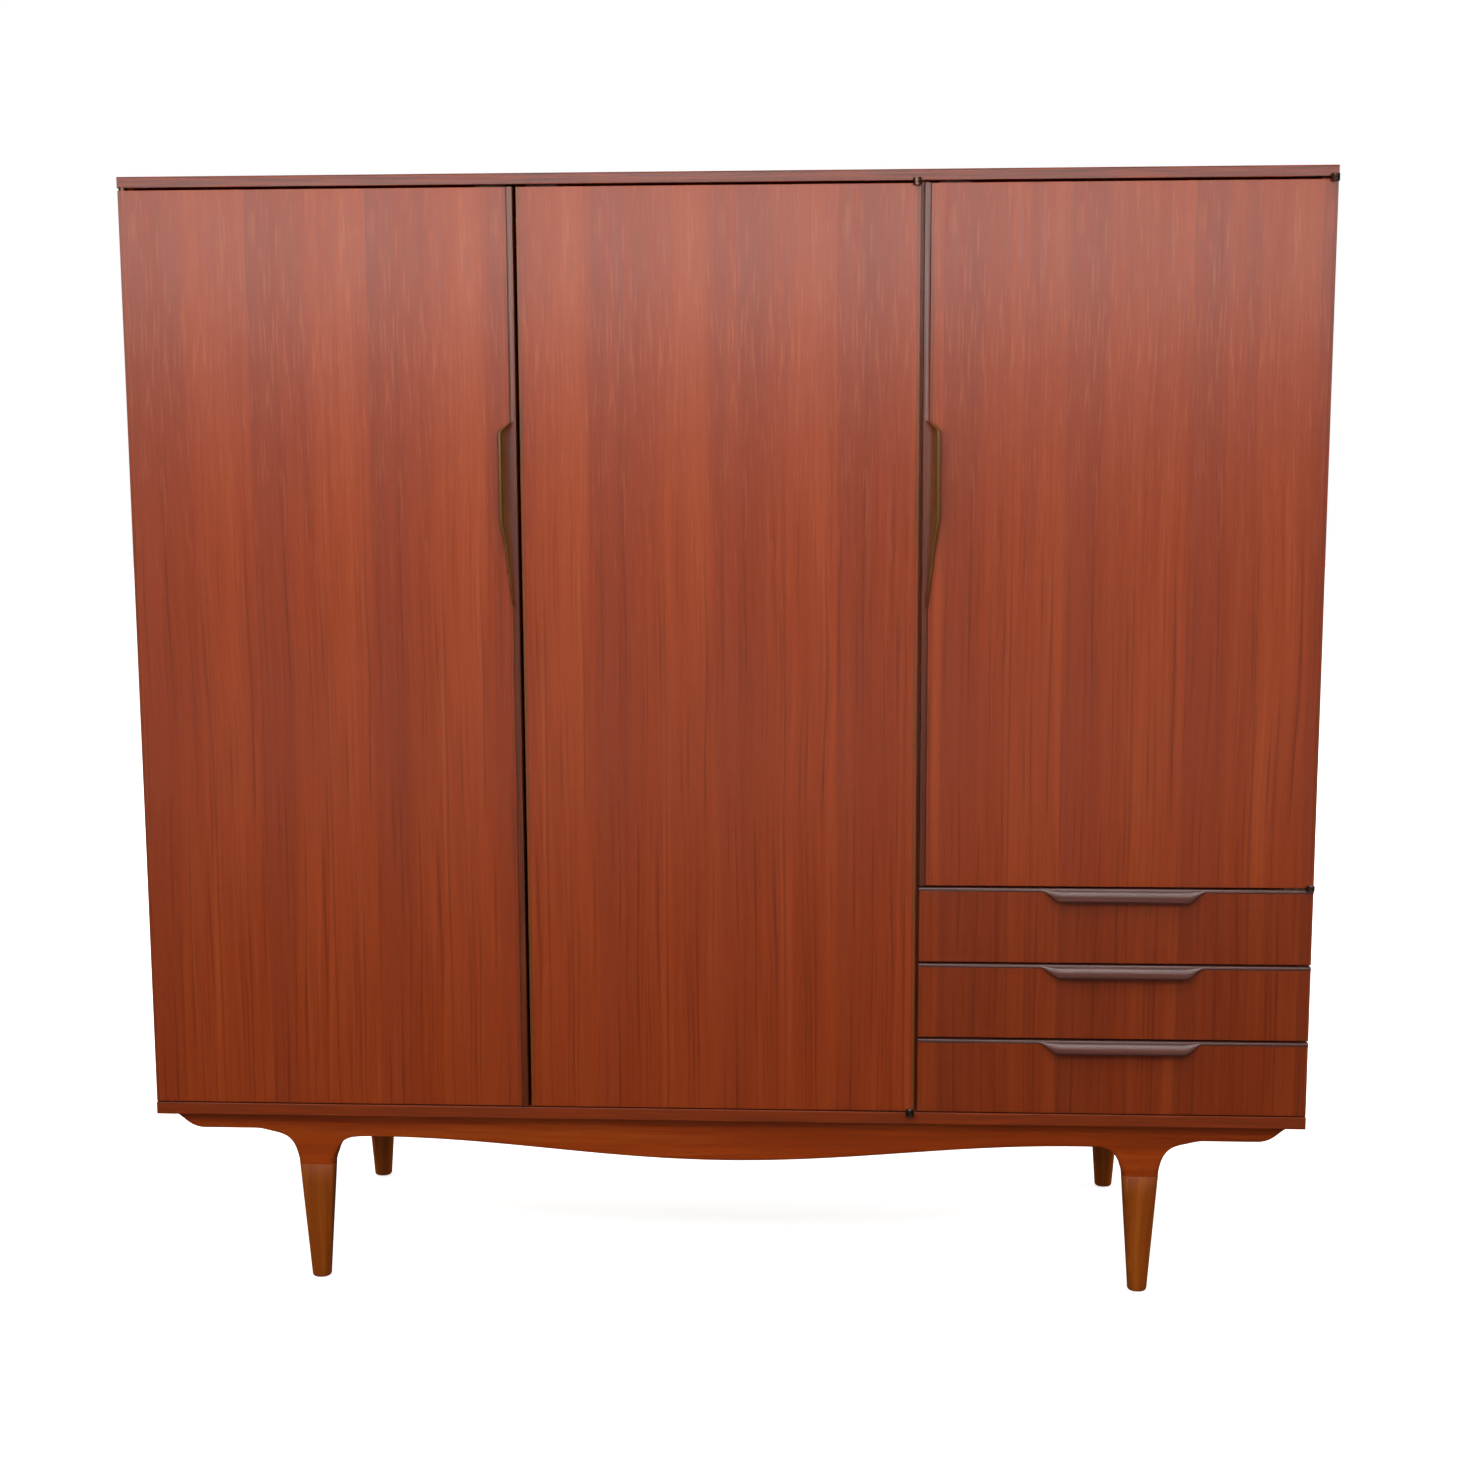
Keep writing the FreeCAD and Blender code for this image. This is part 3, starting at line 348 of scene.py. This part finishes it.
nodeMaterials = {
    "top_panel": topVeneer, "bottom_panel": bottomVeneer, "left_side_panel": uprightVeneer,
    "right_side_panel": uprightVeneer, "centre_divider": uprightVeneer, "drawer_bay_top": flatVeneer,
    "adjustable_shelves": flatVeneer, "left_back_panel": plywood, "right_back_panel": plywood,
    "hanging_rail": beechAlongX, "hanging_rail_sockets": beechAlongX, "drawer_runners": beechAlongY,
    "leg_dowels": beechAlongX, "end_rails": railTeak, "cross_rails": railTeak, "magnetic_catches": brown,
    "hinge_frame_leaves": brass, "shelf_pins": brass, "hinge_pins": steel, "hinge_frame_screws": steel,
    "back_panel_screws": steel, "runner_screws": steel, "fitting_screws": steel, "base_screws": steel,
}
for side in doorLeaves:
    nodeMaterials[side + "_door_panel"] = doorMaterials[side]
    nodeMaterials[side + "_door_hinge_leaves"] = brass
    nodeMaterials[side + "_door_strike_plate"] = steel
    nodeMaterials[side + "_door_screws"] = steel
for level in levels:
    nodeMaterials[level + "_drawer_front"] = drawerMaterials[level]
    nodeMaterials[level + "_drawer_sides"] = beechAlongY
    nodeMaterials[level + "_drawer_back"] = beechAlongX
    nodeMaterials[level + "_drawer_bottom"] = drawerPly


def dress(piece, material):
    piece.data.materials.clear()
    piece.data.materials.append(material)


for name, material in nodeMaterials.items():
    dress(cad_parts[name], material)
print("carried-over pieces dressed:", len(nodeMaterials))


def startPiece(name, count):
    # a filled ring of count points, ready to be shaped in edit mode
    bpy.ops.object.select_all(action="DESELECT")
    bpy.ops.mesh.primitive_circle_add(vertices=count, radius=0.01, fill_type="NGON")
    piece = bpy.context.active_object
    piece.name = name
    piece.data.name = name
    return piece


def shapeRings(piece, rings):
    # the filled ring takes the first outline, and is extruded through the others
    bpy.ops.object.mode_set(mode="EDIT")
    mesh = bmesh.from_edit_mesh(piece.data)
    for vertex, point in zip(mesh.verts, rings[0]):
        vertex.co = point
    for before, ring in zip(rings, rings[1:]):
        bpy.ops.mesh.extrude_region_move(TRANSFORM_OT_translate={"value": (0, 0, 0)})
        mesh = bmesh.from_edit_mesh(piece.data)
        moved = [v for v in mesh.verts if v.select]
        for vertex in moved:
            nearest = min(range(len(before)), key=lambda i: (vertex.co - before[i]).length_squared)
            vertex.co = ring[nearest]
        bmesh.update_edit_mesh(piece.data)
    bpy.ops.mesh.select_all(action="SELECT")
    bpy.ops.mesh.normals_make_consistent(inside=False)
    bpy.ops.object.mode_set(mode="OBJECT")


def settle(piece, smoothAngle, material, body, slot, *nodes):
    bpy.ops.object.select_all(action="DESELECT")
    piece.select_set(True)
    bpy.context.view_layer.objects.active = piece
    bpy.ops.object.shade_smooth_by_angle(angle=math.radians(smoothAngle))
    dress(piece, material)
    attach(piece, body)
    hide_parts(*nodes)


# Sizes in millimetres. Each station is a way along the pull and its share of the full section.
doorPull = {
    "reach": 27.0, "forward": 20.0, "strip": 9.0, "proud": 1.5, "drop": 333.0, "smoothAngle": 40,
    "stations": ((0, 0), (2.5, 0.10), (13, 0.86), (16.5, 0.97), (21, 1), (140, 1), (147, 0.98),
                 (153, 0.93), (172, 0.73), (180, 0.65), (188, 0.59), (272, 0.04), (280, 0)),
}
drawerPull = {
    "reach": 19.0, "forward": 18.0, "strip": 5.0, "proud": 1.5, "shift": 12.0, "smoothAngle": 40,
    "stations": ((-120, 0), (-117, 0.07), (-98, 0.91), (-94, 0.99), (-89, 1),
                 (89, 1), (94, 0.99), (98, 0.91), (117, 0.07), (120, 0)),
}


def circleThrough(a, b, c, count):
    # points on the arc from a through b to c
    ax, ay, bx, by, cx, cy = *a, *b, *c
    d = 2 * (ax * (by - cy) + bx * (cy - ay) + cx * (ay - by))
    aa, bb, cc = ax * ax + ay * ay, bx * bx + by * by, cx * cx + cy * cy
    ux = (aa * (by - cy) + bb * (cy - ay) + cc * (ay - by)) / d
    uy = (aa * (cx - bx) + bb * (ax - cx) + cc * (bx - ax)) / d
    radius = math.hypot(ax - ux, ay - uy)
    start = math.atan2(ay - uy, ax - ux)
    end = math.atan2(cy - uy, cx - ux)
    middle = math.atan2(by - uy, bx - ux)
    turn = 2 * math.pi
    sweep = (end - start) % turn
    if (middle - start) % turn > sweep:
        sweep -= turn
    angles = [start + sweep * i / count for i in range(count + 1)]
    return [(ux + radius * math.cos(angle), uy + radius * math.sin(angle)) for angle in angles]


# Shares of the pull's reach across and of its stand forward; crestDrop is in millimetres.
pullNose = ((0.84, 0.975), (0.90, 0.93), (0.945, 0.86), (0.965, 0.78), (0.972, 0.5), (0.985, 0.2), (1.0, 0.0))
pullHollow = {"bottom": (0.6, 0.3), "rim": 0.76, "crest": 0.79, "crestDrop": 0.05, "steps": 14}
stripArris = 1.1  # how far the strip's rounded front edge reaches
stripDepth = 20.0  # from the doors' faces to the back of the strip


def pullOutline(look, share):
    # (across, forward) points round the strip and the grip that grows out of its front
    h, p, s, proud = look["reach"], look["forward"], look["strip"], look["proud"]
    across, deep = pullHollow["bottom"]
    rim = (pullHollow["rim"] * h, p)
    hollow = circleThrough((0, proud / 2), (across * h, deep * p), rim, pullHollow["steps"])
    edge = [(0.0, proud - stripArris), (0.3, proud - 0.4), (stripArris, proud)]
    # the grip at its full section, and the plain strip with as many points
    full = edge + [(max(a, 1.3 + 0.12 * i), max(v, proud + 0.01 * i)) for i, (a, v) in enumerate(hollow[2:])]
    full += [(pullHollow["crest"] * h, p - pullHollow["crestDrop"])]
    full += [(a * h, v * p) for a, v in pullNose]
    gaps = len(full) - 7
    flat = edge + [(stripArris + (s - 2 * stripArris) * (i + 1) / gaps, proud) for i in range(gaps)]
    flat += [(s - 0.3, proud - 0.4), (s - 0.08, proud - 0.8), (s, proud - stripArris), (s, 0.0)]
    front = [(a0 + (a1 - a0) * share, v0 + (v1 - v0) * share) for (a0, v0), (a1, v1) in zip(flat, full)]
    return front + [(s - 0.01, -0.01), (s, -stripDepth), (0.0, -stripDepth)]


def makeStrip(name, look, length, stations, place, material, body, node):
    # stations run along the whole strip; place turns (along, across, forward) into a point
    ways = [(0.0, 0.0)] + stations + [(length, 0.0)]
    rings = [[place(way, a, v) for a, v in pullOutline(look, share)] for way, share in ways]
    piece = startPiece(name, len(rings[0]))
    shapeRings(piece, rings)
    settle(piece, look["smoothAngle"], material, body, "dark_teak", node)


def doorStrip(side, inward):
    node = side + "_door_handle_strip"
    low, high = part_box(node)
    edge = high[0] if inward < 0 else low[0]
    stations = [(doorPull["drop"] + way, share) for way, share in doorPull["stations"]]

    def place(way, across, forward):
        return Vector((edge + inward * mm(across), doorFace - mm(forward), high[2] - mm(way)))

    makeStrip(side + "DoorPull", doorPull, (high[2] - low[2]) * 1000, stations, place,
              uprightStripTeak, side + "_door", node)


def drawerStrip(level):
    node = level + "_drawer_handle_strip"
    low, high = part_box(node)
    length = (high[0] - low[0]) * 1000
    middle = (high[0] - low[0]) * 500 + drawerPull["shift"]
    stations = [(middle + way, share) for way, share in drawerPull["stations"]]

    def place(way, across, forward):
        return Vector((low[0] + mm(way), doorFace - mm(forward), high[2] - mm(across)))

    makeStrip(level + "DrawerPull", drawerPull, length, stations, place,
              levelStripTeak, level + "_drawer", node)


doorStrip("left", -1)
doorStrip("right", 1)
for level in levels:
    drawerStrip(level)
print("edge strips and pulls modelled")


# Millimetres. Knee points are (out from the leg's middle, down from the rail's lower edge).
railShape = {
    "endCut": (25, 20), "endBend": (11.25, 2.7), "railHeight": 29, "archRise": 11, "legPlace": 635,
    "outerKnee": ((93, 0), (70, 4), (47, 11), (35, 23), (28.5, 43), (27.5, 57)),
    "innerKnee": ((95, 0), (63, 1), (48, 5), (38, 15), (31, 32), (27.5, 46)),
    "arris": 2.6, "topArris": 0.6, "kneeArris": 9.0, "kneeArrisStart": 226, "arrisSteps": 5, "rim": 1.5,
    "archSteps": 24, "apronBelly": 30, "backBelly": 0, "smoothAngle": 40,
}


def smoothLine(points, first, last, count):
    # points on a smooth curve through the given ones, which leaves and arrives in the given directions
    line = []
    for i, (a, b) in enumerate(zip(points, points[1:])):
        reach = (b - a).length / 3
        leaving = first if i == 0 else (b - points[i - 1]).normalized()
        arriving = last if i == len(points) - 2 else (points[i + 2] - a).normalized()
        line += interpolate_bezier(a, a + leaving * reach, b - arriving * reach, b, count + 1)[:-1]
    return line + [points[-1]]


def railOutline(halfLength, top, belly):
    # (x, z) points from the top left corner along the shaped underside to the top right one
    look = railShape
    low = top - look["railHeight"]
    arch = low - look["archRise"]
    leg = -look["legPlace"]
    outer = [Vector((leg - out, low - fall)) for out, fall in look["outerKnee"]]
    inner = [Vector((leg + out, arch - fall)) for out, fall in look["innerKnee"]][::-1]
    cutX, cutZ = look["endCut"]
    corner = Vector((-halfLength + cutX, top - cutZ))
    bend = (corner.x + look["endBend"][0], low + look["endBend"][1])
    left = [Vector((-halfLength, top)), Vector((-halfLength + cutX / 2, top - cutZ / 2))]
    left += [Vector(p) for p in circleThrough(corner, bend, (corner.x + cutX, low), 8)]
    left += smoothLine(outer, Vector((1, 0)), Vector((0, -1)), 5)
    left += smoothLine(inner, Vector((0, 1)), Vector((1, 0)), 5)
    reach = look["legPlace"] - look["innerKnee"][0][0]
    half = look["archSteps"]
    steps = [reach * (i / half - 1) for i in range(1, 2 * half)]
    middle = [Vector((x, arch - belly * math.cos(math.pi * x / (2 * reach)) ** 2)) for x in steps]
    return left + middle + [Vector((-p.x, p.y)) for p in left[::-1]]


levelShare = 0.01  # a way this far from plumb counts as turned to one side


def inwardWays(outline, foot, top):
    # for each point the direction into the wood, level at the corners over the legs and at the ends
    ways = []
    for i, point in enumerate(outline):
        before, after = outline[i - 1], outline[(i + 1) % len(outline)]
        tangent = (after - before).normalized()
        way = Vector((-tangent.y, tangent.x))
        if point.y < foot + nearEnough:
            way = Vector((math.copysign(1, way.x), 0)) if abs(way.x) > levelShare else way
        if point.y > top - nearEnough:
            way = Vector((-math.copysign(1, point.x), 0))
        ways.append(way)
    return ways


def makeRail(name, node, belly):
    look = railShape
    low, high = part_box(node)
    foot, top = low[2] * 1000, high[2] * 1000
    front, back = low[1] * 1000, high[1] * 1000
    outline = railOutline(high[0] * 1000, top, belly)
    ways = inwardWays(outline, foot, top)
    radii = []
    for point in outline:
        share = min(max((look["kneeArrisStart"] - point.y) / (look["kneeArrisStart"] - foot), 0), 1)
        radius = look["arris"] + (look["kneeArris"] - look["arris"]) * share ** 1.5
        if belly and abs(point.x) < look["legPlace"] - look["innerKnee"][0][0]:
            radius = look["arris"]
        radii.append(look["topArris"] if point.y > top - nearEnough else radius)

    def ring(face, inward, angle, rim=0.0):
        turn = math.radians(angle)
        points = []
        for point, way, radius in zip(outline, ways, radii):
            spot = point + way * (radius * (1 - math.sin(turn)) + rim)
            sunk = face + inward * radius * (1 - math.cos(turn))
            points.append(Vector((mm(spot.x), mm(sunk), mm(spot.y))))
        return points

    turns = [90 * i / look["arrisSteps"] for i in range(look["arrisSteps"] + 1)]
    rings = [ring(front, 1, 0, look["rim"])] + [ring(front, 1, t) for t in turns]
    rings += [ring(back, -1, t) for t in turns[::-1]] + [ring(back, -1, 0, look["rim"])]
    piece = startPiece(name, len(outline))
    shapeRings(piece, rings)
    settle(piece, look["smoothAngle"], apronTeak, "carcass", "solid_teak", node)


makeRail("frontApron", "front_apron", railShape["apronBelly"])
makeRail("backRail", "back_rail", railShape["backBelly"])
print("apron and back rail modelled")

# Millimetres; heights are from the floor. The foot is the rounding under the tip.
legSize = {
    "top": 185.0, "across": 55.0, "through": 32.0, "corner": 9.0, "tip": 29.0, "tipCorner": 13.5,
    "foot": 3.5, "topTrim": 0.6, "heights": (150, 110, 70, 35, 12), "footTurns": (25, 50, 75, 90),
    "footSpread": 0.3, "leastCorner": 2.0, "smoothAngle": 50,
}


def roundedOutline(x, y, z, across, through, corner, steps=9):
    # a level rectangle with round corners, each corner in as many straight pieces as steps
    points = []
    for quarter, (sx, sy) in enumerate(((1, 1), (-1, 1), (-1, -1), (1, -1))):
        cx, cy = x + sx * mm(across / 2 - corner), y + sy * mm(through / 2 - corner)
        for i in range(steps + 1):
            angle = math.radians(90 * quarter + 90 * i / steps)
            out, back = mm(corner) * math.cos(angle), mm(corner) * math.sin(angle)
            points.append(Vector((cx + out, cy + back, mm(z))))
    return points


def makeLeg(node, name):
    low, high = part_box(node)
    x, y = (low[0] + high[0]) / 2, (low[1] + high[1]) / 2
    size = legSize
    rings = []
    heights = (size["top"], size["top"] - size["topTrim"], *size["heights"], size["foot"])
    for i, z in enumerate(heights):
        share = 1 - z / size["top"]
        trim = size["topTrim"] if i == 0 else 0.0
        rings.append(roundedOutline(
            x, y, z, size["across"] + (size["tip"] - size["across"]) * share - trim,
            size["through"] + (size["tip"] - size["through"]) * share - trim,
            size["corner"] + (size["tipCorner"] - size["corner"]) * share))
    for turn in size["footTurns"]:
        sunk = size["foot"] * (1 - math.cos(math.radians(turn)))
        drop = size["foot"] * (1 - math.sin(math.radians(turn)))
        tip = size["tip"] - 2 * sunk + size["footSpread"]
        corner = max(size["tipCorner"] - sunk, size["leastCorner"])
        rings.append(roundedOutline(x, y, drop, tip, tip, corner))
    piece = startPiece(name, len(rings[0]))
    shapeRings(piece, rings)
    settle(piece, size["smoothAngle"], legTeak, "carcass", "solid_teak", node)


for node, name in (("front_left_leg", "frontLeftLeg"), ("front_right_leg", "frontRightLeg"),
                   ("back_left_leg", "backLeftLeg"), ("back_right_leg", "backRightLeg")):
    makeLeg(node, name)
print("legs modelled")

studio = {
    "white": 1.0, "sky": 0.36, "ground": 0.03, "skyStart": -0.10, "skyEnd": 0.06,
    "floorTone": "#f4f3f1", "floorGlow": 0.62, "glowStart": 1.6, "glowEnd": 4.5, "floorSize": 30.0,
}


# Pale painted floor: even and nearly matt, whitening with distance.
def makeFloor(look):
    bpy.ops.object.select_all(action="DESELECT")
    bpy.ops.mesh.primitive_plane_add(size=look["floorSize"], location=(0, 0, 0))
    floor = bpy.context.active_object
    floor.name = "studioFloor"
    made, tree = newMaterial("palePaintedFloor")
    place = addNode(tree, "TexCoord")["Object"]
    cloud = addNode(tree, "TexNoise", {"Vector": place, "Scale": 2.0})[0]
    rough = addNode(tree, "MapRange", {0: cloud, 1: 0.3, 2: 0.7, 3: 0.7, 4: 0.8})[0]
    away = addNode(tree, "VectorMath", {0: place}, operation="LENGTH")["Value"]
    fade = {0: away, 1: look["glowStart"], 2: look["glowEnd"], 3: look["floorGlow"], 4: 1.0}
    glow = addNode(tree, "MapRange", fade)[0]
    gloss = {"Specular IOR Level": 0.1, "Emission Color": (1, 1, 1, 1), "Emission Strength": glow}
    finishMaterial(tree, fromHex(look["floorTone"]), rough, None, 0, gloss)
    dress(floor, made)
    floor.visible_diffuse = False  # its bounce is the sky's lower half instead
    floor.visible_glossy = False


def makeSky(look):
    # white where it is seen, and dimmer as a light, with less from below
    world = bpy.data.worlds.new("studioSky")
    bpy.context.scene.world = world
    world.use_nodes = True
    tree = world.node_tree
    tree.nodes.clear()
    ray = addNode(tree, "SeparateXYZ", {0: addNode(tree, "TexCoord")["Generated"]})
    rise = {0: ray[2], 1: look["skyStart"], 2: look["skyEnd"], 3: look["ground"], 4: look["sky"]}
    dome = addNode(tree, "MapRange", rise)[0]
    seen = addNode(tree, "LightPath")["Is Camera Ray"]
    strength = addNode(tree, "Mix", {0: seen, 2: dome, 3: look["white"]})[0]
    sky = addNode(tree, "Background", {"Color": (1, 1, 1, 1), "Strength": strength})
    addNode(tree, "OutputWorld", {"Surface": sky[0]})


makeFloor(studio)
makeSky(studio)

# Metres and watts. Lamps that aren't mirrored give light but no reflection of themselves.
frontTint, overheadTint, sideTint = (1.0, 0.985, 0.99), (1.0, 0.97, 0.95), (1.0, 0.99, 0.98)
softboxes = {
    "frontSoftbox": {"place": (-0.7, -6.3, 2.75), "aim": (-0.2, -0.27, 2.4), "size": (6.0, 2.0),
                     "power": 70.0, "tint": frontTint, "mirrored": True},
    "nearSoftbox": {"place": (-0.25, -2.2, 1.75), "aim": (-0.2, -0.27, 1.6), "size": (4.6, 0.3),
                    "power": 27.5, "tint": frontTint, "mirrored": True},
    "lowFillSoftbox": {"place": (-0.3, -3.0, 0.45), "aim": (-0.2, -0.27, 0.3), "size": (4.0, 0.3),
                       "power": 4.5, "tint": frontTint, "mirrored": True},
    "overheadSoftbox": {"place": (-0.2, -1.75, 2.95), "aim": (0, -0.27, 1.5), "size": (3.0, 0.7),
                        "power": 19.0, "tint": overheadTint, "mirrored": True},
    "leftSoftbox": {"place": (-4.6, 1.0, 2.2), "aim": (0, 0, 0.9), "size": (3.0, 2.4),
                    "power": 130.0, "tint": sideTint, "mirrored": False},
    "rightSoftbox": {"place": (4.6, 1.0, 2.2), "aim": (0, 0, 0.9), "size": (3.0, 2.4),
                     "power": 130.0, "tint": sideTint, "mirrored": False},
    "backSoftbox": {"place": (0.0, 5.2, 2.6), "aim": (0, 0, 0.9), "size": (4.0, 2.4),
                    "power": 110.0, "tint": sideTint, "mirrored": False},
}


def softbox(name, look):
    data = bpy.data.lights.new(name, "AREA")
    data.shape = "RECTANGLE"
    data.size, data.size_y = look["size"]
    data.energy = look["power"]
    data.color = look["tint"]
    lamp = bpy.data.objects.new(name, data)
    bpy.context.collection.objects.link(lamp)
    lamp.location = look["place"]
    way = Vector(look["aim"]) - Vector(look["place"])
    lamp.rotation_euler = way.to_track_quat("-Z", "Y").to_euler()
    lamp.visible_camera = False
    lamp.visible_glossy = look["mirrored"]


for name, look in softboxes.items():
    softbox(name, look)

# metres, degrees and millimetres
view = {
    "place": (0.1905, -3.4685, 1.3481), "down": 8.395, "left": 3.18, "roll": 0.228,
    "lens": 54.02, "sensor": 36.0,
}


def studioCamera(look):
    # rows of the turn are the camera's right, down and forward directions
    level = Matrix(((1, 0, 0), (0, 0, -1), (0, 1, 0)))
    roll = Matrix.Rotation(math.radians(look["roll"]), 3, "Z")
    left = Matrix.Rotation(math.radians(look["left"]), 3, "Y")
    down = Matrix.Rotation(math.radians(look["down"]), 3, "X")
    turn = roll @ left @ down @ level
    right, low, ahead = turn
    data = bpy.data.cameras.new("studioCamera")
    data.lens, data.sensor_width = look["lens"], look["sensor"]
    camera = bpy.data.objects.new("studioCamera", data)
    bpy.context.collection.objects.link(camera)
    basis = Matrix((right, -low, -ahead)).transposed().to_4x4()
    camera.matrix_world = Matrix.Translation(look["place"]) @ basis
    bpy.context.scene.camera = camera


studioCamera(view)
bpy.context.scene.view_settings.view_transform = "Standard"
print("stage, light and camera set")
